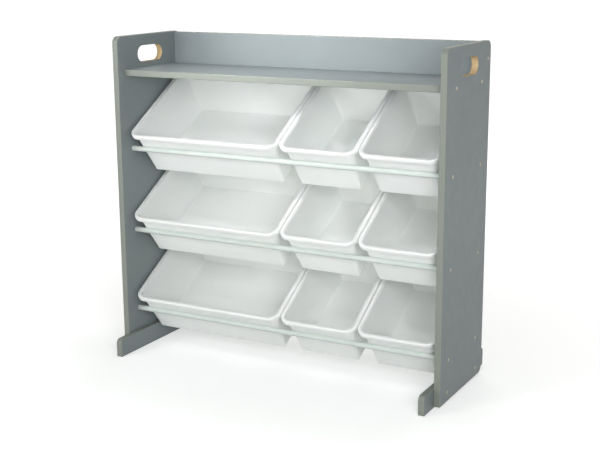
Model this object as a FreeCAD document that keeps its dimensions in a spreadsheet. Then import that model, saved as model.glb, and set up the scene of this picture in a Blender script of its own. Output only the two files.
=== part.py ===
import FreeCAD, Part
import math
import os
import Sketcher

# A children's storage organizer: two side panels on long feet carry a top tray and six rods, and nine open
# plastic bins lean on the rods, each with its front wall on a front rod and its floor on a rear rod.
# Millimetres. X runs along the rods, +Y to the rear, +Z up; the origin is under the middle, on the floor.

sizes = {
    # bins, across the unit
    "large_bin_width": 413.6,
    "small_bin_width": 197.8,
    "bin_gap": 3.5,
    "bin_side_gap": 5.4,
    # one bin, in its own level frame
    "bin_length": 290,
    "bin_height": 126,
    "bin_wall": 2,
    "bin_draft": 6,
    "rim_overhang": 9.5,
    "rim_skirt": 10,
    "rim_wall": 2.6,
    "rim_corner_radius": 28,
    "rim_round": 3,
    "mouth_round": 4,
    "wall_corner_radius": 20,
    "floor_corner_radius": 8,
    "floor_round": 5,
    # how the bins lean
    "bin_tilt": 31,
    "rod_seat_gap": 0.3,
    # rods
    "rod_diameter": 12.7,
    "rod_wall": 1.2,
    "rod_inset": 47.4,
    "lower_rod_height": 101.3,
    "row_pitch": 205.7,
    "insert_length": 20,
    # side panels
    "panel_thickness": 15,
    "panel_depth": 264,
    "panel_floor_gap": 4,
    "panel_top_radius": 16.5,
    "panel_rear_radius": 18,
    "panel_front_radius": 3,
    "edge_round": 1.5,
    # handle slots
    "slot_length": 102,
    "slot_width": 40,
    "slot_above_shelf": 33,
    # top tray
    "shelf_thickness": 15,
    "shelf_front_inset": 27,
    "shelf_bin_gap": 3.4,
    "tray_depth": 80.5,
    "back_panel_thickness": 12,
    "back_panel_rear_inset": 11,
    "back_panel_drop": 2,
    # feet
    "foot_thickness": 15,
    "foot_height": 46,
    "foot_overhang": 53,
    "foot_top_radius": 12,
    "foot_bottom_radius": 3.5,
    # screws
    "screw_diameter": 4.2,
    "screw_head_diameter": 8,
    "screw_socket": 2.5,
    "screw_tip": 3,
    "screw_grip": 30,
    "rod_screw_grip": 16,
    "foot_screw_grip": 13.5,
    "screw_clearance": 0.05,
    "pilot_clearance": 1,
    "shelf_screw_inset": 30,
    "back_screw_below_top": 38,
    "foot_screw_height": 26,
    "foot_screw_front_inset": 44,
    "foot_screw_rear_inset": 42,
}

# Places that follow from the sizes above. A bin's rim starts at bin_run, and bin_rise above its rods; what
# is "below_rim" or "from_rim" is measured square to the tilted rim or along it.
worked = {
    "bins_width": "=Sizes.large_bin_width + 2 * Sizes.small_bin_width + 2 * Sizes.bin_gap",
    "inner_width": "=bins_width + 2 * Sizes.bin_side_gap",
    "outer_width": "=inner_width + 2 * Sizes.panel_thickness",
    "front_edge": "=-Sizes.panel_depth / 2",
    "front_rod_y": "=front_edge + Sizes.rod_inset",
    "rear_rod_y": "=front_edge + Sizes.panel_depth - Sizes.rod_inset",
    "rod_spacing": "=rear_rod_y - front_rod_y",
    "tilt_sine": "=sin(Sizes.bin_tilt * 1 deg)",
    "tilt_cosine": "=cos(Sizes.bin_tilt * 1 deg)",
    "draft_slope": "=tan(Sizes.bin_draft * 1 deg)",
    "draft_cosine": "=cos(Sizes.bin_draft * 1 deg)",
    "rod_reach": "=Sizes.rod_diameter / 2 + Sizes.rod_seat_gap",
    "rod_reach_level": "=rod_reach / draft_cosine",
    "rear_rod_below_rim": "=Sizes.bin_height + rod_reach",
    "front_rod_below_rim": "=rear_rod_below_rim - rod_spacing * tilt_sine",
    "front_rod_from_rim": "=Sizes.rim_overhang + front_rod_below_rim * draft_slope - rod_reach_level",
    "bin_run": "=front_rod_y - front_rod_from_rim * tilt_cosine - front_rod_below_rim * tilt_sine",
    "bin_rise": "=front_rod_below_rim * tilt_cosine - front_rod_from_rim * tilt_sine",
    "base_inset": "=Sizes.rim_overhang + Sizes.bin_height * draft_slope",
    "floor_depth": "=Sizes.bin_height - Sizes.bin_wall",
    "mouth_inset": "=Sizes.rim_overhang + Sizes.bin_wall",
    "inner_base_inset": "=mouth_inset + floor_depth * draft_slope",
    "upper_rod_height": "=Sizes.lower_rod_height + 2 * Sizes.row_pitch",
    "back_rear": "=front_edge + Sizes.panel_depth - Sizes.back_panel_rear_inset",
    "back_front": "=back_rear - Sizes.back_panel_thickness",
    "rim_line_rise": "=(rear_rod_below_rim + (back_rear - rear_rod_y) * tilt_sine) / tilt_cosine",
    "shelf_bottom": "=upper_rod_height + rim_line_rise + Sizes.shelf_bin_gap",
    "shelf_top": "=shelf_bottom + Sizes.shelf_thickness",
    "shelf_front": "=front_edge + Sizes.shelf_front_inset",
    "panel_top": "=shelf_top + Sizes.tray_depth",
    "back_top": "=panel_top - Sizes.back_panel_drop",
    "slot_height": "=shelf_top + Sizes.slot_above_shelf",
    "screw_head_height": "=(Sizes.screw_head_diameter - Sizes.screw_diameter) / 2",
    "hole_radius": "=Sizes.screw_diameter / 2 + Sizes.screw_clearance",
    "rod_bore_radius": "=Sizes.rod_diameter / 2 - Sizes.rod_wall",
}

rows = ("lower", "middle", "upper")
doc = FreeCAD.newDocument("StorageOrganizer")


def make_sheet(name, cells):
    sheet = doc.addObject("Spreadsheet::Sheet", name)
    for line, (alias, content) in enumerate(cells.items(), start=1):
        sheet.set(f"A{line}", alias)
        sheet.set(f"B{line}", str(content))
        sheet.setAlias(f"B{line}", alias)
    doc.recompute()
    return sheet


def value(expression):
    """The number that an expression on the sheets gives now."""
    return float(worked_sheet.evalExpression(expression))


def bind(thing, **expressions):
    """Ties properties to the sheets; a double underscore stands for a dot."""
    for path, expression in expressions.items():
        thing.setExpression(path.replace("__", "."), expression)


def bind_place(thing, x="0", y="0", z="0"):
    bind(thing, Placement__Base__x=x, Placement__Base__y=y, Placement__Base__z=z)


def turn(thing, axis, degrees):
    thing.Placement = FreeCAD.Placement(FreeCAD.Vector(), FreeCAD.Rotation(axis, degrees))


near = 0.01
X_AXIS = FreeCAD.Vector(1, 0, 0)
Y_AXIS = FreeCAD.Vector(0, 1, 0)
Z_AXIS = FreeCAD.Vector(0, 0, 1)


# Sketches


def new_body(label):
    body = doc.addObject("PartDesign::Body", label)
    body.Label = label
    return body


def new_sketch(body, name, role, offset="0"):
    sketch = body.newObject("Sketcher::SketchObject", name)
    plane = next(f for f in body.Origin.OriginFeatures if f.Role == role)
    sketch.AttachmentSupport = [(plane, "")]
    sketch.MapMode = "FlatFace"
    bind(sketch, AttachmentOffset__Base__z=offset)
    return sketch


def dimension(sketch, kind, first, second, expression):
    """A horizontal or vertical distance from point first to point second, each (geometry, end)."""
    size = value(expression)
    if size < 0:
        first, second, expression = second, first, f"-({expression})"
    index = sketch.addConstraint(Sketcher.Constraint(kind, *first, *second, abs(size)))
    sketch.setExpression(f"Constraints[{index}]", expression)


def radius(sketch, geometry, expression):
    index = sketch.addConstraint(Sketcher.Constraint("Radius", geometry, value(expression)))
    sketch.setExpression(f"Constraints[{index}]", expression)


def arc(x, y, size, start, end):
    circle = Part.Circle(FreeCAD.Vector(x, y, 0), Z_AXIS, size)
    return Part.ArcOfCircle(circle, math.radians(start), math.radians(end))


def segment(x1, y1, x2, y2):
    return Part.LineSegment(FreeCAD.Vector(x1, y1, 0), FreeCAD.Vector(x2, y2, 0))


def rounded_outline(sketch, left, bottom, right, top, corners):
    """A rectangle with round corners, whose radii go round from the bottom left to the top left."""
    x1, y1, x2, y2 = (value(e) for e in (left, bottom, right, top))
    r1, r2, r3, r4 = (value(e) for e in corners)
    pieces = [
        segment(x1 + r1, y1, x2 - r2, y1),
        arc(x2 - r2, y1 + r2, r2, 270, 360),
        segment(x2, y1 + r2, x2, y2 - r3),
        arc(x2 - r3, y2 - r3, r3, 0, 90),
        segment(x2 - r3, y2, x1 + r4, y2),
        arc(x1 + r4, y2 - r4, r4, 90, 180),
        segment(x1, y2 - r4, x1, y1 + r1),
        arc(x1 + r1, y1 + r1, r1, 180, 270),
    ]
    first = sketch.GeometryCount
    sketch.addGeometry(pieces, False)
    count = len(pieces)
    for step in range(count):
        here, after = first + step, first + (step + 1) % count
        sketch.addConstraint(Sketcher.Constraint("Tangent", here, 2, after, 1))
    for step in (0, 4):
        sketch.addConstraint(Sketcher.Constraint("Horizontal", first + step))
    for step in (2, 6):
        sketch.addConstraint(Sketcher.Constraint("Vertical", first + step))
    for step, corner in zip((7, 1, 3, 5), corners):
        radius(sketch, first + step, corner)
    origin = (-1, 1)
    dimension(sketch, "DistanceY", origin, (first, 1), bottom)
    dimension(sketch, "DistanceX", origin, (first + 2, 1), right)
    dimension(sketch, "DistanceY", origin, (first + 4, 1), top)
    dimension(sketch, "DistanceX", origin, (first + 6, 1), left)


def stadium(sketch, x, y, length, width):
    """A slot with half round ends, lying along the sketch's X."""
    cx, cy, size = value(x), value(y), value(width) / 2
    half = value(length) / 2 - size
    pieces = [
        segment(cx - half, cy - size, cx + half, cy - size),
        arc(cx + half, cy, size, -90, 90),
        segment(cx + half, cy + size, cx - half, cy + size),
        arc(cx - half, cy, size, 90, 270),
    ]
    first = sketch.GeometryCount
    sketch.addGeometry(pieces, False)
    for step in range(4):
        here, after = first + step, first + (step + 1) % 4
        sketch.addConstraint(Sketcher.Constraint("Tangent", here, 2, after, 1))
    for step in (0, 2):
        sketch.addConstraint(Sketcher.Constraint("Horizontal", first + step))
    radius(sketch, first + 1, f"({width}) / 2")
    origin = (-1, 1)
    dimension(sketch, "DistanceY", origin, (first + 1, 3), y)
    for step, side in ((1, "+"), (3, "-")):
        place = f"({x}) {side} (({length}) - ({width})) / 2"
        dimension(sketch, "DistanceX", origin, (first + step, 3), place)


def round_holes(sketch, places, size):
    for x, y in places:
        circle = Part.Circle(FreeCAD.Vector(value(x), value(y), 0), Z_AXIS, value(size))
        hole = sketch.addGeometry(circle, False)
        radius(sketch, hole, size)
        dimension(sketch, "DistanceX", (-1, 1), (hole, 3), x)
        dimension(sketch, "DistanceY", (-1, 1), (hole, 3), y)


# Features


def pad(body, sketch, length, name="pad", backwards=False):
    feature = body.newObject("PartDesign::Pad", name)
    feature.Profile = sketch
    feature.Reversed = backwards
    bind(feature, Length=length)
    doc.recompute()
    return feature


def pocket(body, sketch, length, name, backwards=False):
    """Cuts and then checks that material has gone."""
    before = body.Shape.Volume
    feature = body.newObject("PartDesign::Pocket", name)
    feature.Profile = sketch
    feature.Reversed = backwards
    bind(feature, Length=length)
    doc.recompute()
    if not body.Shape.Volume < before:
        raise RuntimeError(f"{body.Label}: {name} cuts nothing")
    return feature


def loft(body, kind, name, start, end):
    feature = body.newObject(f"PartDesign::{kind}", name)
    feature.Profile = start
    feature.Sections = [end]
    feature.Ruled = True
    doc.recompute()
    return feature


def edges_where(shape, test):
    return [f"Edge{i}" for i, edge in enumerate(shape.Edges, start=1) if test(edge)]


def dress(body, kind, name, test, size, prop):
    """A fillet or chamfer on the edges of the body that pass the test."""
    base = body.Tip
    names = edges_where(base.Shape, test)
    if not names:
        raise RuntimeError(f"{body.Label}: no edges for {name}")
    feature = body.newObject(f"PartDesign::{kind}", name)
    feature.Base = (base, names)
    bind(feature, **{prop: size})
    doc.recompute()
    return feature


def outline_test(body, axis, levels, outer=True):
    """Picks the outer (else the inner) edges of the flat faces that lie across axis at the given levels."""
    chosen = []
    for face in body.Tip.Shape.Faces:
        box = face.BoundBox
        low, high = getattr(box, f"{axis}Min"), getattr(box, f"{axis}Max")
        if high - low < near and any(abs(low - level) < near for level in levels):
            wires = [wire for wire in face.Wires if wire.isSame(face.OuterWire) == outer]
            chosen += [edge for wire in wires for edge in wire.Edges]
    return lambda edge: any(edge.isSame(other) for other in chosen)


# Where the screws go, as (y, z) on a side panel


def rod_height(row):
    return f"(Sizes.lower_rod_height + {rows.index(row)} * Sizes.row_pitch)"


rod_places = [(f"Worked.{side}_rod_y", rod_height(row)) for row in rows for side in ("front", "rear")]
shelf_middle = "(Worked.shelf_bottom + Sizes.shelf_thickness / 2)"
shelf_screw_places = [
    ("(Worked.shelf_front + Sizes.shelf_screw_inset)", shelf_middle),
    ("(Worked.back_front - Sizes.shelf_screw_inset)", shelf_middle),
]
back_middle = "(Worked.back_front + Sizes.back_panel_thickness / 2)"
back_screw_places = [(back_middle, "(Worked.back_top - Sizes.back_screw_below_top)")]
foot_screw_places = [
    ("(Worked.front_edge + Sizes.foot_screw_front_inset)", "Sizes.foot_screw_height"),
    ("(-Worked.front_edge - Sizes.foot_screw_rear_inset)", "Sizes.foot_screw_height"),
]
side_screw_places = rod_places + shelf_screw_places + back_screw_places + foot_screw_places

# Boards


def side_panel(side):
    """A board with round top corners, a hand slot and countersunk holes, its outer face at local X = 0."""
    body = new_body(f"{side}_side_panel")
    direction = 1 if side == "left" else -1
    outline = new_sketch(body, "outline", "YZ_Plane")
    corners = [f"Sizes.panel_{name}_radius" for name in ("front", "rear", "top", "top")]
    front, top = "Worked.front_edge", "Worked.panel_top"
    rounded_outline(outline, front, "Sizes.panel_floor_gap", f"-{front}", top, corners)
    backwards = direction < 0
    pad(body, outline, "Sizes.panel_thickness", backwards=backwards)
    faces = (0, direction * value("Sizes.panel_thickness"))
    dress(body, "Fillet", "eased_edges", outline_test(body, "X", faces), "Sizes.edge_round", "Radius")
    slot = new_sketch(body, "slot", "YZ_Plane")
    stadium(slot, "0", "Worked.slot_height", "Sizes.slot_length", "Sizes.slot_width")
    pocket(body, slot, "Sizes.panel_thickness", "hand_slot", backwards=not backwards)
    holes = new_sketch(body, "holes", "YZ_Plane")
    round_holes(holes, side_screw_places, "Worked.hole_radius")
    pocket(body, holes, "Sizes.panel_thickness", "screw_holes", backwards=not backwards)
    hole_radius = value("Worked.hole_radius")

    def outer_rim(edge):
        round_edge = isinstance(edge.Curve, Part.Circle) and abs(edge.Curve.Radius - hole_radius) < near
        return round_edge and abs(edge.BoundBox.XMin) < near and abs(edge.BoundBox.XMax) < near

    dress(body, "Chamfer", "countersinks", outer_rim, "Worked.screw_head_height", "Size")
    bind_place(body, x=f"{-direction} * Worked.outer_width / 2")
    return body


def foot(side):
    """A long low board inside a side panel, with round upper ends, its face on the panel at local X = 0."""
    body = new_body(f"{side}_foot")
    direction = 1 if side == "left" else -1
    outline = new_sketch(body, "outline", "YZ_Plane")
    corners = [f"Sizes.foot_{name}_radius" for name in ("bottom", "bottom", "top", "top")]
    front = "(Worked.front_edge - Sizes.foot_overhang)"
    rounded_outline(outline, front, "0", f"-{front}", "Sizes.foot_height", corners)
    backwards = direction < 0
    pad(body, outline, "Sizes.foot_thickness", backwards=backwards)
    faces = (0, direction * value("Sizes.foot_thickness"))
    dress(body, "Fillet", "eased_edges", outline_test(body, "X", faces), "Sizes.edge_round", "Radius")
    holes = new_sketch(body, "holes", "YZ_Plane")
    round_holes(holes, foot_screw_places, "Worked.hole_radius")
    pocket(body, holes, "Sizes.foot_thickness", "screw_holes", backwards=not backwards)
    bind_place(body, x=f"{-direction} * Worked.inner_width / 2")
    return body


def cross_board(label, front, rear, bottom, top, rounded, screw_places):
    """A board between the side panels, with long edges eased and pilot holes in both ends."""
    body = new_body(label)
    half = "Worked.inner_width / 2"
    outline = new_sketch(body, "outline", "YZ_Plane", f"-{half}")
    first = segment(value(front), value(bottom), value(rear), value(bottom))
    second = segment(value(rear), value(bottom), value(rear), value(top))
    third = segment(value(rear), value(top), value(front), value(top))
    fourth = segment(value(front), value(top), value(front), value(bottom))
    outline.addGeometry([first, second, third, fourth], False)
    for step in range(4):
        outline.addConstraint(Sketcher.Constraint("Coincident", step, 2, (step + 1) % 4, 1))
        outline.addConstraint(Sketcher.Constraint("Vertical" if step % 2 else "Horizontal", step))
    dimension(outline, "DistanceX", (-1, 1), (0, 1), front)
    dimension(outline, "DistanceX", (-1, 1), (0, 2), rear)
    dimension(outline, "DistanceY", (-1, 1), (0, 1), bottom)
    dimension(outline, "DistanceY", (-1, 1), (2, 1), top)
    pad(body, outline, "Worked.inner_width")
    corners = [(value(y), value(z)) for y, z in rounded]

    def long_edge(edge):
        box = edge.BoundBox
        return box.XLength > 1 and any(abs(box.YMin - y) + abs(box.ZMin - z) < near for y, z in corners)

    dress(body, "Fillet", "eased_edges", long_edge, "Sizes.edge_round", "Radius")
    depth = "Sizes.screw_grip + Sizes.pilot_clearance"
    for name, offset, backwards in (("left", f"-{half}", True), ("right", half, False)):
        holes = new_sketch(body, f"{name}_holes", "YZ_Plane", offset)
        round_holes(holes, screw_places, "Worked.hole_radius")
        pocket(body, holes, depth, f"{name}_pilot_holes", backwards=backwards)
    bind_place(body)
    return body


def top_shelf():
    front, top, bottom = "Worked.shelf_front", "Worked.shelf_top", "Worked.shelf_bottom"
    rounded = [(front, top), (front, bottom)]
    return cross_board("top_shelf", front, "Worked.back_front", bottom, top, rounded, shelf_screw_places)


def back_panel():
    front, rear = "Worked.back_front", "Worked.back_rear"
    top, bottom = "Worked.back_top", "Worked.shelf_bottom"
    rounded = [(front, top), (rear, top), (rear, bottom)]
    return cross_board("back_panel", front, rear, bottom, top, rounded, back_screw_places)


# Rods, their threaded inserts and the screws


def cylinder(name, size, length, start="0"):
    shape = doc.addObject("Part::Cylinder", name)
    bind(shape, Radius=size, Height=length, Placement__Base__z=start)
    return shape


def cut(label, base, tool):
    result = doc.addObject("Part::Cut", label)
    result.Base = base
    result.Tool = tool
    result.Label = label
    return result


def rod(side, row):
    """A tube between the side panels."""
    label = f"{side}_rod_{row}"
    tube = cylinder(f"{label}_outside", "Sizes.rod_diameter / 2", "Worked.inner_width")
    bore = cylinder(f"{label}_bore", "Worked.rod_bore_radius", "Worked.inner_width")
    result = cut(label, tube, bore)
    turn(result, Y_AXIS, 90)
    bind_place(result, "-Worked.inner_width / 2", f"Worked.{side}_rod_y", rod_height(row))
    return result


def threaded_insert():
    """The plug pressed into each end of a rod, which its screw bites in."""
    plug = cylinder("insert_outside", "Worked.rod_bore_radius", "Sizes.insert_length")
    bore = cylinder("insert_bore", "Worked.hole_radius", "Sizes.insert_length")
    return cut("insert_pattern", plug, bore)


def screw_pattern(kind, grip):
    """A countersunk screw with a hexagon socket, pointing along +Z, its head flush at Z = 0."""
    head = doc.addObject("Part::Cone", f"{kind}_screw_head")
    bind(head, Radius1="Sizes.screw_head_diameter / 2", Radius2="Sizes.screw_diameter / 2")
    bind(head, Height="Worked.screw_head_height")
    length = f"(Sizes.panel_thickness + {grip} - Sizes.screw_tip)"
    shank = cylinder(f"{kind}_screw_shank", "Sizes.screw_diameter / 2", length)
    tip = doc.addObject("Part::Cone", f"{kind}_screw_tip")
    bind(tip, Radius1="Sizes.screw_diameter / 2", Radius2="Sizes.screw_diameter / 8")
    bind(tip, Height="Sizes.screw_tip", Placement__Base__z=length)
    solid = doc.addObject("Part::MultiFuse", f"{kind}_screw_solid")
    solid.Shapes = [head, shank, tip]
    solid.Refine = True
    socket = doc.addObject("Part::Prism", f"{kind}_screw_socket")
    socket.Polygon = 6
    bind(socket, Circumradius="Sizes.screw_socket / sqrt(3)", Height="Worked.screw_head_height")
    return cut(f"{kind}_screw_pattern", solid, socket)


def group(label, pattern, side, places, offset):
    """Copies of a pattern that point inwards from one side, as one node."""
    direction = 1 if side == "left" else -1
    copies = []
    for number, (y, z) in enumerate(places, start=1):
        copy = doc.addObject("App::Link", f"{label}_{number}")
        copy.LinkedObject = pattern
        turn(copy, Y_AXIS, 90 * direction)
        bind_place(copy, f"{-direction} * ({offset})", y, z)
        copies.append(copy)
    compound = doc.addObject("Part::Compound", label)
    compound.Links = copies
    compound.Label = label
    return compound


def fasteners():
    outer, inner = "Worked.outer_width / 2", "Worked.inner_width / 2"
    kinds = {
        "rod": ("Sizes.rod_screw_grip", rod_places),
        "shelf": ("Sizes.screw_grip", shelf_screw_places),
        "back": ("Sizes.screw_grip", back_screw_places),
        "foot": ("Sizes.foot_screw_grip", foot_screw_places),
    }
    insert = threaded_insert()
    made = [group(f"{side}_rod_inserts", insert, side, rod_places, inner) for side in ("left", "right")]
    for kind, (grip, places) in kinds.items():
        pattern = screw_pattern(kind, grip)
        plural = "screw" if len(places) == 1 else "screws"
        for side in ("left", "right"):
            made.append(group(f"{side}_{kind}_{plural}", pattern, side, places, outer))
    return made


# Bins


def bin_outline(body, name, width, inset, level, corner):
    """A rounded rectangle inset from the bin's rim, at a level below the rim's top."""
    sketch = new_sketch(body, name, "XY_Plane", f"-({level})")
    half = f"(({width}) / 2 - ({inset}))"
    rounded_outline(sketch, f"-{half}", inset, half, f"Sizes.bin_length - ({inset})", [corner] * 4)
    return sketch


def bin_body(label, width, x, row):
    """An open bin: sloping walls, a rounded floor edge and a rim that turns over into a skirt."""
    body = new_body(label)
    rim_corner, skirt = "Sizes.rim_corner_radius", "Sizes.rim_skirt"
    rim = bin_outline(body, "rim", width, "0", "0", rim_corner)
    pad(body, rim, skirt, "rim_block", backwards=True)
    under = bin_outline(body, "under_rim", width, "Sizes.rim_wall", skirt, f"{rim_corner} - Sizes.rim_wall")
    pocket(body, under, "Sizes.rim_skirt - Sizes.rim_wall", "rim_hollow", backwards=True)
    upper, lower = "Sizes.wall_corner_radius", "Sizes.floor_corner_radius"
    top = bin_outline(body, "wall_top", width, "Sizes.rim_overhang", "0", upper)
    base = bin_outline(body, "wall_base", width, "Worked.base_inset", "Sizes.bin_height", lower)
    loft(body, "AdditiveLoft", "outside", top, base)
    upper, lower = (f"({corner} - Sizes.bin_wall)" for corner in (upper, lower))
    mouth = bin_outline(body, "mouth", width, "Worked.mouth_inset", "0", upper)
    floor = bin_outline(body, "floor", width, "Worked.inner_base_inset", "Worked.floor_depth", lower)
    loft(body, "SubtractiveLoft", "inside", mouth, floor)

    floor_inside = outline_test(body, "Z", (-value("Worked.floor_depth"),))
    dress(body, "Fillet", "inner_floor_round", floor_inside, "Sizes.floor_round - Sizes.bin_wall", "Radius")
    floor_outside = outline_test(body, "Z", (-value("Sizes.bin_height"),))
    dress(body, "Fillet", "outer_floor_round", floor_outside, "Sizes.floor_round", "Radius")
    rim_outside = outline_test(body, "Z", (0,))
    dress(body, "Fillet", "rim_rounding", rim_outside, "Sizes.rim_round", "Radius")
    rim_inside = outline_test(body, "Z", (0,), outer=False)
    dress(body, "Fillet", "mouth_rounding", rim_inside, "Sizes.mouth_round", "Radius")
    turn(body, X_AXIS, value("Sizes.bin_tilt"))
    bind(body, Placement__Rotation__Angle="Sizes.bin_tilt * 1 deg")
    bind_place(body, x, "Worked.bin_run", f"{rod_height(row)} + Worked.bin_rise")
    return body


def bins_of_row(row):
    left = "(-Worked.inner_width / 2 + Sizes.bin_side_gap)"
    large, small, gap = "Sizes.large_bin_width", "Sizes.small_bin_width", "Sizes.bin_gap"
    return [
        bin_body(f"{row}_large_bin", large, f"{left} + {large} / 2", row),
        bin_body(f"{row}_centre_bin", small, f"{left} + {large} + {gap} + {small} / 2", row),
        bin_body(f"{row}_right_bin", small, f"{left} + {large} + 2 * {gap} + 1.5 * {small}", row),
    ]


# Assembly


def check(parts):
    for thing in doc.Objects:
        if "Invalid" in thing.State or "Error" in thing.State:
            raise RuntimeError(f"{thing.Label} failed: {thing.State}")
    for thing in parts:
        if thing.Shape.isNull() or not thing.Shape.isValid():
            raise RuntimeError(f"{thing.Label} has no valid shape")


sizes_sheet = make_sheet("Sizes", sizes)
worked_sheet = make_sheet("Worked", worked)
parts = [side_panel("left"), side_panel("right"), foot("left"), foot("right"), top_shelf(), back_panel()]
parts += [rod(side, row) for row in rows for side in ("front", "rear")]
parts += fasteners()
for row in rows:
    parts += bins_of_row(row)
doc.recompute()
check(parts)

os.makedirs("parts", exist_ok=True)
for part in parts:
    part.Shape.exportStep(f"parts/{part.Label}.step")
    box = part.Shape.BoundBox
    print(f"{part.Label}: {len(part.Shape.Solids)} solid(s), {part.Shape.Volume / 1000:.1f} cm3")
    print(f"    {box.XLength:.1f} x {box.YLength:.1f} x {box.ZLength:.1f} mm")
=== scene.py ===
import math

import bmesh
import bpy
from mathutils import Matrix, Vector


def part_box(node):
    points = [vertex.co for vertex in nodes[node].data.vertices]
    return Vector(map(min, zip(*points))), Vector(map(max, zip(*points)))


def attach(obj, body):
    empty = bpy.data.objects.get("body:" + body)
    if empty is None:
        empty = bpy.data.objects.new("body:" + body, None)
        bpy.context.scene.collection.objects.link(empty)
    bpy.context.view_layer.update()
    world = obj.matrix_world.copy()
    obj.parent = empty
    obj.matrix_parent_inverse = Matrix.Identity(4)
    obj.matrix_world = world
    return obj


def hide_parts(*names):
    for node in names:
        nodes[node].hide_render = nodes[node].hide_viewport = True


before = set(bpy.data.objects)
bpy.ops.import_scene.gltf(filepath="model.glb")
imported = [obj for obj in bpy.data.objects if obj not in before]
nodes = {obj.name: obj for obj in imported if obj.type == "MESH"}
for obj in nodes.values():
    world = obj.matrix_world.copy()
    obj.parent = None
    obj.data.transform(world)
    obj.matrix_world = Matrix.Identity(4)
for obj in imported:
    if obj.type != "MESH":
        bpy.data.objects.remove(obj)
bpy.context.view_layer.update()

# Metres, in the frame's own axes: X along the rods, +Y to the rear, +Z up, the floor at 0.
mm = 0.001
rows = ("lower", "middle", "upper")
sides = ("left", "right")


def startPiece(name, addPrimitive, **settings):
    # a new primitive under its own name, open in edit mode with all of it selected
    if bpy.context.mode != "OBJECT":
        bpy.ops.object.mode_set(mode="OBJECT")
    bpy.ops.object.select_all(action="DESELECT")
    addPrimitive(**settings)
    piece = bpy.context.active_object
    piece.name = piece.data.name = name
    bpy.ops.object.transform_apply(location=True, rotation=True, scale=True)
    bpy.ops.object.mode_set(mode="EDIT")
    return piece


def startBlock(name, low, high):
    # a cube stretched between two corners, ready to be shaped
    piece = startPiece(name, bpy.ops.mesh.primitive_cube_add, size=1)
    size = [high[i] - low[i] for i in range(3)]
    middle = [(high[i] + low[i]) / 2 for i in range(3)]
    bpy.ops.transform.resize(value=size, center_override=(0, 0, 0))
    bpy.ops.transform.translate(value=middle)
    return piece


def pick(kind, test):
    # selects the verts, edges or faces of the open mesh that pass the test, and nothing else
    bpy.ops.mesh.select_mode(type={"verts": "VERT", "edges": "EDGE", "faces": "FACE"}[kind])
    bpy.ops.mesh.select_all(action="DESELECT")
    mesh = bmesh.from_edit_mesh(bpy.context.edit_object.data)
    for part in getattr(mesh, kind):
        if test(part):
            part.select_set(True)
    mesh.select_flush_mode()
    bmesh.update_edit_mesh(bpy.context.edit_object.data)


def near(a, b):
    return abs(a - b) < 0.02 * mm


def edgeAt(**places):
    # passes edges whose two ends both lie at the given x, y or z
    axes = {"x": 0, "y": 1, "z": 2}
    return lambda edge: all(near(v.co[axes[a]], at) for v in edge.verts for a, at in places.items())


def roundEdges(test, radius, segments):
    pick("edges", test)
    bpy.ops.mesh.bevel(
        offset=radius, offset_type="OFFSET", segments=segments, profile=0.5, affect="EDGES"
    )


def extrudeAlong(x, ratio=1.0, centre=(0, 0, 0)):
    # pushes the selection along X and then narrows it round the centre
    bpy.ops.mesh.extrude_region_move(TRANSFORM_OT_translate={"value": (x, 0, 0)})
    if ratio != 1.0:
        bpy.ops.transform.resize(value=(1, ratio, ratio), center_override=centre)


def closePiece(piece, creaseAngle=40):
    # back to object mode, smooth but for the hard corners
    if bpy.context.mode != "OBJECT":
        bpy.ops.object.mode_set(mode="OBJECT")
    bpy.ops.object.select_all(action="DESELECT")
    piece.select_set(True)
    bpy.context.view_layer.objects.active = piece
    bpy.ops.object.shade_smooth_by_angle(angle=math.radians(creaseAngle))
    return piece


def applyModifier(piece, kind, **settings):
    modifier = piece.modifiers.new(kind.lower(), kind)
    for key, setting in settings.items():
        setattr(modifier, key, setting)
    bpy.context.view_layer.objects.active = piece
    bpy.ops.object.modifier_apply(modifier=modifier.name)


def keepFlats(piece):
    # large flat faces keep their own normals beside the rounded edges
    applyModifier(piece, "WEIGHTED_NORMAL", keep_sharp=True, weight=90)


def cutWith(piece, tool):
    applyModifier(piece, "BOOLEAN", operation="DIFFERENCE", solver="EXACT", object=tool)
    bpy.data.objects.remove(tool)


def copyOf(pattern, name, place, rotation):
    # a copy with its own mesh, moved into its place
    bpy.ops.object.select_all(action="DESELECT")
    pattern.select_set(True)
    bpy.context.view_layer.objects.active = pattern
    bpy.ops.object.duplicate(linked=False)
    piece = bpy.context.active_object
    piece.name = piece.data.name = name
    piece.rotation_euler = rotation
    piece.location = place
    bpy.ops.object.transform_apply(location=True, rotation=True, scale=True)
    return piece


def joined(pieces):
    bpy.ops.object.select_all(action="DESELECT")
    for piece in pieces:
        piece.select_set(True)
    bpy.context.view_layer.objects.active = pieces[0]
    bpy.ops.object.join()
    return pieces[0]


def finishPiece(piece, body, replaced):
    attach(piece, body)
    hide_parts(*replaced)


def newMaterial(name):
    material = bpy.data.materials.new(name)
    material.use_nodes = True
    tree = material.node_tree
    return material, tree, tree.nodes["Principled BSDF"]


def link(tree, out, into):
    tree.links.new(out, into)


def addNode(tree, kind, **inputs):
    node = tree.nodes.new(kind)
    for key, setting in inputs.items():
        node.inputs[key].default_value = setting
    return node


def objectNoise(tree, size, detail=3, stretch=(1, 1, 1)):
    # noise in the object's own axes; size is the width of its largest spots
    coordinates = tree.nodes.new("ShaderNodeTexCoord")
    mapping = addNode(tree, "ShaderNodeMapping", Scale=stretch)
    noise = addNode(tree, "ShaderNodeTexNoise", Scale=1 / size, Detail=detail)
    link(tree, coordinates.outputs["Object"], mapping.inputs["Vector"])
    link(tree, mapping.outputs["Vector"], noise.inputs["Vector"])
    return noise.outputs["Fac"]


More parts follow.
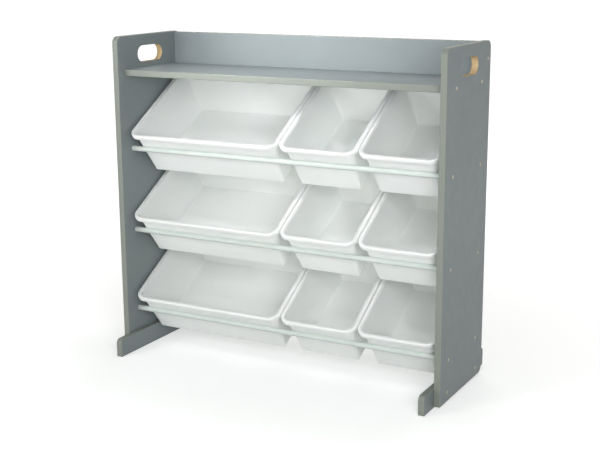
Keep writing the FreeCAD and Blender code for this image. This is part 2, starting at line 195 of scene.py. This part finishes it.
def between(tree, factor, low, high, start=0.3, end=0.7):
    # the factor from start to end, spread from low to high
    spread = tree.nodes.new("ShaderNodeMapRange")
    spread.inputs["From Min"].default_value = start
    spread.inputs["From Max"].default_value = end
    spread.inputs["To Min"].default_value = low
    spread.inputs["To Max"].default_value = high
    link(tree, factor, spread.inputs["Value"])
    return spread.outputs["Result"]


def mixColours(tree, factor, first, second):
    mix = tree.nodes.new("ShaderNodeMix")
    mix.data_type = "RGBA"
    link(tree, factor, mix.inputs["Factor"])
    for place, colour in ((6, first), (7, second)):
        if isinstance(colour, tuple):
            mix.inputs[place].default_value = (*colour, 1)
        else:
            link(tree, colour, mix.inputs[place])
    return mix.outputs[2]


def addBump(tree, shader, height, depth, strength=1.0):
    bump = addNode(tree, "ShaderNodeBump", Distance=depth, Strength=strength)
    link(tree, height, bump.inputs["Height"])
    link(tree, bump.outputs["Normal"], shader.inputs["Normal"])


paint = {
    "face": (0.198, 0.224, 0.235),
    "faceLight": (0.209, 0.236, 0.246),
    "edge": (0.225, 0.240, 0.217),
    "edgeLight": (0.236, 0.251, 0.227),
    "worn": (0.300, 0.270, 0.205),
    "board": (0.48, 0.345, 0.19),
    "boardDark": (0.40, 0.28, 0.14),
    "boardLight": (0.53, 0.40, 0.24),
}


def satinPaint(name, colour, lighter, roughness):
    # sprayed satin paint: faint cloudy colour, a fine orange peel
    material, tree, shader = newMaterial(name)
    clouds = between(tree, objectNoise(tree, 120 * mm), 0, 1)
    link(tree, mixColours(tree, clouds, colour, lighter), shader.inputs["Base Color"])
    sheen = between(tree, objectNoise(tree, 25 * mm), roughness, roughness + 0.08)
    link(tree, sheen, shader.inputs["Roughness"])
    shader.inputs["Specular IOR Level"].default_value = 0.3
    addBump(tree, shader, objectNoise(tree, 2.2 * mm, detail=2), 0.05 * mm)
    return material


def wornPaint(name):
    # the eased corners, where the paint has rubbed thin in short patches
    material, tree, shader = newMaterial(name)
    patches = between(tree, objectNoise(tree, 14 * mm, detail=4), 0, 1, 0.60, 0.70)
    grain = between(tree, objectNoise(tree, 0.8 * mm), 0, 1)
    bare = mixColours(tree, grain, paint["edgeLight"], paint["worn"])
    link(tree, mixColours(tree, patches, paint["edge"], bare), shader.inputs["Base Color"])
    link(tree, between(tree, patches, 0.45, 0.7, 0, 1), shader.inputs["Roughness"])
    addBump(tree, shader, objectNoise(tree, 1.5 * mm, detail=2), 0.05 * mm)
    return material


def rawBoard(name):
    # routed fibreboard: warm, matt and slightly furry, with fine fibres along the board
    material, tree, shader = newMaterial(name)
    fibres = between(tree, objectNoise(tree, 1.6 * mm, detail=6, stretch=(2.5, 1, 1)), 0, 1)
    clouds = between(tree, objectNoise(tree, 18 * mm), 0, 0.5)
    base = mixColours(tree, fibres, paint["boardDark"], paint["board"])
    link(tree, mixColours(tree, clouds, base, paint["boardLight"]), shader.inputs["Base Color"])
    shader.inputs["Roughness"].default_value = 0.85
    addBump(tree, shader, fibres, 0.25 * mm)
    return material


def mouldedPlastic(name):
    # satin polypropylene with a very fine mould texture
    material, tree, shader = newMaterial(name)
    clouds = between(tree, objectNoise(tree, 90 * mm, detail=2), 0, 1)
    base = mixColours(tree, clouds, (0.935, 0.966, 0.948), (0.950, 0.976, 0.958))
    link(tree, base, shader.inputs["Base Color"])
    link(tree, between(tree, objectNoise(tree, 12 * mm), 0.44, 0.54), shader.inputs["Roughness"])
    shader.inputs["IOR"].default_value = 1.49
    shader.inputs["Specular IOR Level"].default_value = 0.4
    shader.inputs["Subsurface Weight"].default_value = 1.0
    shader.inputs["Subsurface Radius"].default_value = (1.0, 1.0, 0.95)
    shader.inputs["Subsurface Scale"].default_value = 5 * mm
    addBump(tree, shader, objectNoise(tree, 1.1 * mm, detail=2), 0.02 * mm)
    return material


def powderCoat(name):
    # glossy white coat on the rods, with a cool cast and a slight ripple
    material, tree, shader = newMaterial(name)
    clouds = between(tree, objectNoise(tree, 60 * mm), 0, 1)
    base = mixColours(tree, clouds, (0.58, 0.625, 0.605), (0.61, 0.655, 0.635))
    link(tree, base, shader.inputs["Base Color"])
    link(tree, between(tree, objectNoise(tree, 9 * mm), 0.40, 0.50), shader.inputs["Roughness"])
    addBump(tree, shader, objectNoise(tree, 3 * mm, detail=2), 0.04 * mm)
    return material


def zincPlate(name):
    # yellow zinc on the screws, dull and a little stained
    material, tree, shader = newMaterial(name)
    stains = between(tree, objectNoise(tree, 3 * mm), 0, 1)
    base = mixColours(tree, stains, (0.43, 0.38, 0.28), (0.54, 0.50, 0.40))
    link(tree, base, shader.inputs["Base Color"])
    link(tree, between(tree, stains, 0.42, 0.58, 0, 1), shader.inputs["Roughness"])
    shader.inputs["Metallic"].default_value = 1
    addBump(tree, shader, objectNoise(tree, 0.6 * mm), 0.02 * mm)
    return material


def insertNylon(name):
    material, tree, shader = newMaterial(name)
    clouds = between(tree, objectNoise(tree, 5 * mm), 0, 1)
    base = mixColours(tree, clouds, (0.76, 0.76, 0.73), (0.83, 0.83, 0.80))
    link(tree, base, shader.inputs["Base Color"])
    shader.inputs["Roughness"].default_value = 0.5
    addBump(tree, shader, objectNoise(tree, 0.9 * mm), 0.02 * mm)
    return material


facePaint = satinPaint("satin_grey_faces", paint["face"], paint["faceLight"], 0.40)
edgePaint = satinPaint("satin_grey_edges", paint["edge"], paint["edgeLight"], 0.46)
cornerPaint = wornPaint("worn_grey_corners")
boardEdge = rawBoard("raw_fibreboard")
boardFinishes = (facePaint, edgePaint, cornerPaint, boardEdge)
binPlastic = mouldedPlastic("white_bin_plastic")
rodCoat = powderCoat("white_rod_coat")
screwZinc = zincPlate("zinc_screw_heads")
nylon = insertNylon("insert_nylon")
print("materials made")


def paintBoard(piece, flatAxis):
    # faces, sawn edges and the rubbed corners between them each get their own finish
    for finish in boardFinishes:
        piece.data.materials.append(finish)
    for polygon in piece.data.polygons:
        lean = abs(polygon.normal[flatAxis])
        if lean > 0.99:
            finish = facePaint
        elif lean > 0.02:
            finish = cornerPaint
        else:
            finish = edgePaint
        polygon.material_index = boardFinishes.index(finish)


boards = {
    "easedEdge": 1.5 * mm,
    "easedSegments": 3,
    "cornerSegments": 12,
    "creaseDegrees": 30,
    "cutPast": 5 * mm,
}


def easeEdges(test):
    roundEdges(test, boards["easedEdge"], boards["easedSegments"])


def atFaces(low, high):
    # passes the edges that bound a side board's two flat faces
    onLeft, onRight = edgeAt(x=low.x), edgeAt(x=high.x)
    return lambda edge: onLeft(edge) or onRight(edge)


def roundBoard(name, low, high, corners):
    # a board in the YZ plane; corners are (rear, top, radius), the first two true or false
    piece = startBlock(name, low, high)
    for rear, top, radius in corners:
        y, z = (high if rear else low)[1], (high if top else low)[2]
        roundEdges(edgeAt(y=y, z=z), radius, boards["cornerSegments"])
    easeEdges(atFaces(low, high))
    return closePiece(piece, boards["creaseDegrees"])


sidePanel = {
    "topRadius": 16.5 * mm,
    "rearBottomRadius": 18 * mm,
    "frontBottomRadius": 3 * mm,
    "slotLength": 102 * mm,
    "slotWidth": 40 * mm,
    "slotAboveShelf": 33 * mm,
    "slotSegments": 16,
    "shelfScrewInset": 30 * mm,
    "backScrewBelowTop": 38 * mm,
    "footScrewHeight": 26 * mm,
    "footScrewFrontInset": 44 * mm,
    "footScrewRearInset": 42 * mm,
}
screw = {
    "headRadius": 4 * mm,
    "headPlay": 0.12 * mm,
    "headDepth": 1.9 * mm,
    "headRound": 0.2 * mm,
    "headSegments": 2,
    "creaseDegrees": 30,
    "shankRadius": 2.1 * mm,
    "tipLength": 3 * mm,
    "tipRatio": 0.25,
    "socketAcross": 2.5 * mm,
    "socketDepth": 1.5 * mm,
    "sides": 36,
    "sinkSides": 32,
    "sinkAbove": 1 * mm,
    "holeLength": 30 * mm,
}


def screwPlaces(side):
    # where the heads lie on a side panel, as lists of (y, z) by what they hold
    panelLow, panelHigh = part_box(f"{side}_side_panel")
    shelfLow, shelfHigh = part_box("top_shelf")
    backLow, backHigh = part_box("back_panel")
    rods = [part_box(f"{place}_rod_{row}") for row in rows for place in ("front", "rear")]
    shelfMiddle = (shelfLow.z + shelfHigh.z) / 2
    inset = sidePanel["shelfScrewInset"]
    return {
        "rod_screws": [((low.y + high.y) / 2, (low.z + high.z) / 2) for low, high in rods],
        "shelf_screws": [(shelfLow.y + inset, shelfMiddle), (shelfHigh.y - inset, shelfMiddle)],
        "back_screw": [((backLow.y + backHigh.y) / 2, backHigh.z - sidePanel["backScrewBelowTop"])],
        "foot_screws": [
            (panelLow.y + sidePanel["footScrewFrontInset"], sidePanel["footScrewHeight"]),
            (panelHigh.y - sidePanel["footScrewRearInset"], sidePanel["footScrewHeight"]),
        ],
    }


def slotHeight():
    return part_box("top_shelf")[1].z + sidePanel["slotAboveShelf"]


def makeSlotCutter(low, high):
    # a block with half round ends that goes right through the panel
    half, radius = sidePanel["slotLength"] / 2, sidePanel["slotWidth"] / 2
    middle = slotHeight()
    past = boards["cutPast"]
    cutLow = (low.x - past, -half, middle - radius)
    cutHigh = (high.x + past, half, middle + radius)
    cutter = startBlock("slotCutter", cutLow, cutHigh)
    acrossBoard = lambda edge: abs(edge.verts[0].co.x - edge.verts[1].co.x) > past
    # a hair under half the width, so that the two roundings of an end don't meet in one edge
    roundEdges(acrossBoard, radius * 0.9999, sidePanel["slotSegments"])
    bpy.ops.object.mode_set(mode="OBJECT")
    return cutter


def makeSinkCutter(outer, inwards, places):
    # a cone with a shank hole for each screw, joined in one tool; it starts just outside the panel
    wide = screw["headRadius"] + screw["headPlay"]
    narrow = screw["shankRadius"] + screw["headPlay"]
    above = screw["sinkAbove"]
    cones = []
    for y, z in places:
        tool = startPiece(
            "sink", bpy.ops.mesh.primitive_cylinder_add, vertices=screw["sinkSides"], radius=wide,
            depth=above, location=(outer - inwards * above / 2, y, z), rotation=(0, math.pi / 2, 0),
        )
        pick("faces", lambda face: face.normal.x * inwards > 0.9)
        extrudeAlong(inwards * screw["headDepth"], narrow / wide, (outer, y, z))
        extrudeAlong(inwards * screw["holeLength"])
        bpy.ops.object.mode_set(mode="OBJECT")
        cones.append(tool)
    return joined(cones)


def makeSidePanel(side):
    low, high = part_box(f"{side}_side_panel")
    corners = [
        (False, True, sidePanel["topRadius"]),
        (True, True, sidePanel["topRadius"]),
        (True, False, sidePanel["rearBottomRadius"]),
        (False, False, sidePanel["frontBottomRadius"]),
    ]
    panel = roundBoard(f"{side}Panel", low, high, corners)
    outer, inwards = (low.x, 1) if side == "left" else (high.x, -1)
    cutWith(panel, makeSlotCutter(low, high))
    places = [place for group in screwPlaces(side).values() for place in group]
    cutWith(panel, makeSinkCutter(outer, inwards, places))
    return closePiece(panel, boards["creaseDegrees"])


def bareSlot(panel):
    # the hand slot's cut edge stays unpainted
    reachY = sidePanel["slotLength"] / 2 + 1 * mm
    reachZ = sidePanel["slotWidth"] / 2 + 1 * mm
    middle = slotHeight()
    for polygon in panel.data.polygons:
        centre = polygon.center
        inReach = abs(centre.y) < reachY and abs(centre.z - middle) < reachZ
        if inReach and abs(polygon.normal.x) < 0.1:
            polygon.material_index = boardFinishes.index(boardEdge)


for side in sides:
    panel = makeSidePanel(side)
    paintBoard(panel, 0)
    bareSlot(panel)
    keepFlats(panel)
    finishPiece(panel, "frame", [f"{side}_side_panel"])
print("side panels made")

foot = {"topRadius": 12 * mm, "bottomRadius": 3.5 * mm}

for side in sides:
    low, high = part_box(f"{side}_foot")
    corners = [(rear, True, foot["topRadius"]) for rear in (False, True)]
    corners += [(rear, False, foot["bottomRadius"]) for rear in (False, True)]
    piece = roundBoard(f"{side}Foot", low, high, corners)
    paintBoard(piece, 0)
    keepFlats(piece)
    finishPiece(piece, "frame", [f"{side}_foot"])
print("feet made")

for name, node, flatAxis in (("tray", "top_shelf", 2), ("trayBack", "back_panel", 1)):
    low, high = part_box(node)
    piece = startBlock(name, low, high)
    if node == "top_shelf":
        easeEdges(edgeAt(y=low.y))
    else:
        longEdges = lambda edge: near(abs(edge.verts[0].co.x - edge.verts[1].co.x), high.x - low.x)
        easeEdges(longEdges)
    closePiece(piece, boards["creaseDegrees"])
    paintBoard(piece, flatAxis)
    keepFlats(piece)
    finishPiece(piece, "frame", [node])
print("tray made")

rodShape = {
    "sides": 64,
    "endRound": 0.9 * mm,
    "endSegments": 3,
    "wall": 1.2 * mm,
    "boreDepth": 18 * mm,
}


def makeRod(node):
    low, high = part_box(node)
    radius = (high.z - low.z) / 2
    centre = (low + high) / 2
    rod = startPiece(
        node.replace("_", "-"), bpy.ops.mesh.primitive_cylinder_add, vertices=rodShape["sides"],
        radius=radius, depth=high.x - low.x, location=centre, rotation=(0, math.pi / 2, 0),
    )
    pick("faces", lambda face: abs(face.normal.x) > 0.9)
    bpy.ops.mesh.inset(thickness=rodShape["wall"], use_individual=True)
    inner = radius - rodShape["wall"] / 2
    fromAxis = lambda vert: (vert.co.yz - centre.yz).length
    for inwards, end in ((1, low.x), (-1, high.x)):
        atEnd = lambda face: near(face.calc_center_median().x, end)
        pick("faces", lambda face: atEnd(face) and max(fromAxis(v) for v in face.verts) < inner)
        extrudeAlong(inwards * rodShape["boreDepth"])
    endEdges = atFaces(low, high)
    outerLoop = lambda edge: endEdges(edge) and all(near(fromAxis(v), radius) for v in edge.verts)
    roundEdges(outerLoop, rodShape["endRound"], rodShape["endSegments"])
    closePiece(rod)
    rod.data.materials.append(rodCoat)
    keepFlats(rod)
    finishPiece(rod, "frame", [node])


for row in rows:
    for place in ("front", "rear"):
        makeRod(f"{place}_rod_{row}")
print("rods made")


def makeScrew(name, length):
    # a countersunk screw along +X with its head's face at the origin and a hexagon socket
    radius, shank = screw["headRadius"], screw["shankRadius"]
    piece = startPiece(
        name, bpy.ops.mesh.primitive_circle_add, vertices=screw["sides"], radius=radius,
        fill_type="NGON", rotation=(0, math.pi / 2, 0),
    )
    extrudeAlong(screw["headDepth"], shank / radius)
    extrudeAlong(length - screw["headDepth"] - screw["tipLength"])
    extrudeAlong(screw["tipLength"], screw["tipRatio"])
    roundEdges(edgeAt(x=0), screw["headRound"], screw["headSegments"])
    bpy.ops.mesh.select_all(action="SELECT")
    bpy.ops.mesh.normals_make_consistent(inside=False)
    socket = startPiece(
        "socket", bpy.ops.mesh.primitive_cylinder_add, vertices=6,
        radius=screw["socketAcross"] / math.sqrt(3), depth=2 * screw["socketDepth"],
        rotation=(0, math.pi / 2, 0),
    )
    bpy.ops.object.mode_set(mode="OBJECT")
    cutWith(piece, socket)
    piece.data.materials.append(screwZinc)
    return closePiece(piece, screw["creaseDegrees"])


for side in sides:
    panelLow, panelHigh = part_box(f"{side}_side_panel")
    face, turned = (panelLow.x, 0) if side == "left" else (panelHigh.x, math.pi)
    for group, places in screwPlaces(side).items():
        node = f"{side}_{group}"
        low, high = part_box(node)
        pattern = makeScrew("screw", high.x - low.x)
        name = node.replace("_", "-")
        screws = [copyOf(pattern, name, (face, y, z), (0, 0, turned)) for y, z in places]
        finishPiece(joined(screws), "frame", [node])
        bpy.data.objects.remove(pattern)
print("screws made")

binShape = {
    "tiltDegrees": 31,
    "cornerRadius": 28 * mm,
    "cornerSegments": 16,
    "skirt": 10 * mm,
    "rimRound": 3 * mm,
    "mouthWidth": 7.6 * mm,
    "mouthDrop": 5.2 * mm,
    "rimWall": 2.6 * mm,
    "overhang": 9.5 * mm,
    "wall": 2 * mm,
    "draftDegrees": 6,
    "floorRound": 5 * mm,
    "floorSegments": 6,
    "skirtEase": 0.7 * mm,
    "skirtSegments": 2,
    "roundSteps": 6,
    "creaseDegrees": 50,
}
tilt = Matrix.Rotation(math.radians(binShape["tiltDegrees"]), 4, "X")


def levelBox(node):
    # a bin's box in its own level axes, turned back by the tilt
    back = tilt.inverted()
    points = [back @ v.co for v in nodes[node].data.vertices]
    low = Vector([min(p[i] for p in points) for i in range(3)])
    high = Vector([max(p[i] for p in points) for i in range(3)])
    return low, high


def insetStep(thickness, depth=0.0):
    bpy.ops.mesh.inset(thickness=thickness, depth=depth)


def extrudeTo(rise):
    bpy.ops.mesh.extrude_region_move(TRANSFORM_OT_translate={"value": (0, 0, rise)})


def quarterRound(width, height, falling):
    # insets that follow a quarter of an ellipse, from upright to level or from level to falling
    steps = binShape["roundSteps"]
    angles = [math.pi / 2 * i / steps for i in range(steps + 1)]
    for a, b in zip(angles, angles[1:]):
        if falling:
            insetStep(width * (math.sin(b) - math.sin(a)), -height * (math.cos(a) - math.cos(b)))
        else:
            insetStep(width * (math.cos(a) - math.cos(b)), height * (math.sin(b) - math.sin(a)))


def makeBin(name, width, length, height):
    # level, with its rim's top at z 0, its front edge at y 0 and its middle at x 0
    b = binShape
    slope = math.tan(math.radians(b["draftDegrees"]))
    piece = startPiece(name, bpy.ops.mesh.primitive_plane_add, size=1)
    bpy.ops.transform.resize(value=(width, length, 1), center_override=(0, 0, 0))
    bpy.ops.transform.translate(value=(0, length / 2, -b["skirt"]))
    bpy.ops.mesh.bevel(
        offset=b["cornerRadius"], offset_type="OFFSET", segments=b["cornerSegments"], profile=0.5,
        affect="VERTICES",
    )
    bpy.ops.mesh.select_all(action="SELECT")
    # outside of the skirt, over the rim and down into the mouth
    extrudeTo(b["skirt"] - b["rimRound"])
    quarterRound(b["rimRound"], b["rimRound"], falling=False)
    mouth = b["overhang"] + b["wall"]
    insetStep(mouth - b["rimRound"] - b["mouthWidth"])
    quarterRound(b["mouthWidth"], b["mouthDrop"], falling=True)
    depth = height - b["wall"]
    insetStep(depth * slope, b["mouthDrop"] - depth)
    # the underside: skirt edge, hollow, outer wall and base
    pick("edges", edgeAt(z=-b["skirt"]))
    bpy.ops.mesh.edge_face_add()
    insetStep(b["rimWall"])
    extrudeTo(b["skirt"] - b["rimWall"])
    insetStep(b["overhang"] - b["rimWall"])
    insetStep(height * slope, height - b["rimWall"])
    # rounded floor edges, inside and out, and a soft lower edge on the skirt
    turn = math.tan(math.radians(90 - b["draftDegrees"]) / 2)
    roundEdges(edgeAt(z=-depth), (b["floorRound"] - b["wall"]) * turn, b["floorSegments"])
    roundEdges(edgeAt(z=-height), b["floorRound"] * turn, b["floorSegments"])
    roundEdges(edgeAt(z=-b["skirt"]), b["skirtEase"], b["skirtSegments"])
    bpy.ops.mesh.select_all(action="SELECT")
    bpy.ops.mesh.normals_make_consistent(inside=False)
    closePiece(piece, b["creaseDegrees"])
    piece.data.materials.append(binPlastic)
    keepFlats(piece)
    return piece


def placeBin(pattern, node):
    # tilted into its place on the rods
    low, high = levelBox(node)
    place = tilt @ Vector(((low.x + high.x) / 2, low.y, high.z))
    turned = (math.radians(binShape["tiltDegrees"]), 0, 0)
    piece = copyOf(pattern, node.replace("_", "-"), place, turned)
    finishPiece(piece, node, [node])


patterns = {}
for row in rows:
    for kind in ("large", "centre", "right"):
        node = f"{row}_{kind}_bin"
        low, high = levelBox(node)
        size = "wide" if kind == "large" else "narrow"
        if size not in patterns:
            patterns[size] = makeBin(size, *(high - low))
        placeBin(patterns[size], node)
for pattern in patterns.values():
    bpy.data.objects.remove(pattern)
print("bins made")

# the nodes that no piece replaces are the nylon inserts in the rod ends
for node in nodes.values():
    if not node.hide_render:
        node.data.materials.clear()
        node.data.materials.append(nylon)

# glowNear to farReach set the floor's painted light: a glow weaker near the unit, a painted shade round
# it, and white far off
studio = {
    "floorSize": 80,
    "floorColour": (0.80, 0.81, 0.81),
    "glowNear": 0.43,
    "glowFar": 1.0,
    "nearReach": 0.25,
    "farReach": 2.3,
    "fillStrength": 0.13,
    "fillColour": (0.99, 1.0, 0.93),
}


def seenDirectly(tree):
    # 1 for camera, glossy and transmission rays
    path = tree.nodes.new("ShaderNodeLightPath")
    total = path.outputs["Is Camera Ray"]
    for name in ("Is Glossy Ray", "Is Transmission Ray"):
        both = tree.nodes.new("ShaderNodeMath")
        both.operation = "MAXIMUM"
        link(tree, total, both.inputs[0])
        link(tree, path.outputs[name], both.inputs[1])
        total = both.outputs[0]
    return total


def makeWorld():
    world = bpy.data.worlds.new("studio")
    bpy.context.scene.world = world
    world.use_nodes = True
    tree = world.node_tree
    output = tree.nodes["World Output"]
    fill = tree.nodes["Background"]
    fill.inputs["Color"].default_value = (*studio["fillColour"], 1)
    fill.inputs["Strength"].default_value = studio["fillStrength"]
    white = addNode(tree, "ShaderNodeBackground", Color=(1, 1, 1, 1), Strength=1)
    mix = tree.nodes.new("ShaderNodeMixShader")
    link(tree, seenDirectly(tree), mix.inputs[0])
    link(tree, fill.outputs[0], mix.inputs[1])
    link(tree, white.outputs[0], mix.inputs[2])
    link(tree, mix.outputs[0], output.inputs["Surface"])


def makeFloor():
    bpy.ops.object.select_all(action="DESELECT")
    bpy.ops.mesh.primitive_plane_add(size=studio["floorSize"])
    floor = bpy.context.active_object
    floor.name = "floor"
    material = bpy.data.materials.new("pale_floor")
    material.use_nodes = True
    tree = material.node_tree
    tree.nodes.clear()
    output = tree.nodes.new("ShaderNodeOutputMaterial")
    matt = addNode(tree, "ShaderNodeBsdfDiffuse", Color=(*studio["floorColour"], 1))
    glow = addNode(tree, "ShaderNodeEmission", Color=(1, 1, 1, 1))
    # painted shade and light: the glow, seen only by camera, glossy and transmission rays, is weaker near
    # the unit, which paints a shade round it beside its cast shadow, and grows with the distance to paint
    # the far floor white
    place = tree.nodes.new("ShaderNodeTexCoord")
    reach = tree.nodes.new("ShaderNodeVectorMath")
    reach.operation = "LENGTH"
    link(tree, place.outputs["Object"], reach.inputs[0])
    spread = between(
        tree, reach.outputs["Value"], studio["glowNear"], studio["glowFar"],
        studio["nearReach"], studio["farReach"],
    )
    strength = tree.nodes.new("ShaderNodeMath")
    strength.operation = "MULTIPLY"
    link(tree, seenDirectly(tree), strength.inputs[0])
    link(tree, spread, strength.inputs[1])
    link(tree, strength.outputs[0], glow.inputs["Strength"])
    both = tree.nodes.new("ShaderNodeAddShader")
    link(tree, matt.outputs[0], both.inputs[0])
    link(tree, glow.outputs[0], both.inputs[1])
    link(tree, both.outputs[0], output.inputs["Surface"])
    floor.data.materials.append(material)


# azimuth is to the right of the front and elevation above the floor, in degrees
# aim is the point that a lamp faces
lamps = {
    "key": {
        "azimuth": 37, "elevation": 15, "distance": 3.2, "size": 1.4, "power": 58, "spread": 180,
        "aim": (0, 0, 0.4), "colour": (0.985, 1.0, 0.985),
    },
    "fill": {
        "azimuth": -30, "elevation": 12, "distance": 2.2, "size": 1.0, "power": 17, "spread": 180,
        "aim": (0, 0, 0.4), "colour": (0.985, 1.0, 0.985),
    },
    "back": {
        "azimuth": 180, "elevation": 60, "distance": 3.0, "size": 2.0, "power": 28, "spread": 180,
        "aim": (0, 0, 0.4), "colour": (1.0, 1.0, 0.96),
    },
    "tray": {
        "azimuth": -14, "elevation": 30, "distance": 0.92, "size": 0.35, "power": 1.65, "spread": 65,
        "aim": (-0.03, 0.1, 0.79), "colour": (0.99, 1.0, 1.0),
    },
}


def makeLamp(name, azimuth, elevation, distance, size, power, spread, aim, colour):
    a, e = math.radians(azimuth), math.radians(elevation)
    away = Vector((math.sin(a) * math.cos(e), -math.cos(a) * math.cos(e), math.sin(e)))
    data = bpy.data.lights.new(name, "AREA")
    data.shape = "DISK"
    data.size, data.energy, data.color = size, power, colour
    data.spread = math.radians(spread)
    lamp = bpy.data.objects.new(name, data)
    bpy.context.scene.collection.objects.link(lamp)
    lamp.location = Vector(aim) + away * distance
    lamp.rotation_euler = away.to_track_quat("Z", "Y").to_euler()


camera = {
    "place": (1.2915, -2.341, 0.9763),
    "yawDegrees": 28.706,
    "pitchDegrees": 13.311,
    "rollDegrees": 0.371,
    "lens": 68.60,
}


def makeCamera():
    yaw, pitch, roll = (math.radians(camera[k]) for k in ("yawDegrees", "pitchDegrees", "rollDegrees"))
    forward = Vector((-math.sin(yaw) * math.cos(pitch), math.cos(yaw) * math.cos(pitch), -math.sin(pitch)))
    level = Vector((math.cos(yaw), math.sin(yaw), 0))
    upright = level.cross(forward)
    right = math.cos(roll) * level - math.sin(roll) * upright
    up = math.sin(roll) * level + math.cos(roll) * upright
    data = bpy.data.cameras.new("camera")
    data.lens = camera["lens"]
    view = bpy.data.objects.new("camera", data)
    bpy.context.scene.collection.objects.link(view)
    turn = Matrix((right, up, -forward)).transposed().to_4x4()
    view.matrix_world = Matrix.Translation(camera["place"]) @ turn
    bpy.context.scene.camera = view


makeWorld()
makeFloor()
for name, settings in lamps.items():
    makeLamp(name, **settings)
makeCamera()
bpy.context.scene.view_settings.view_transform = "Standard"
print("studio made")
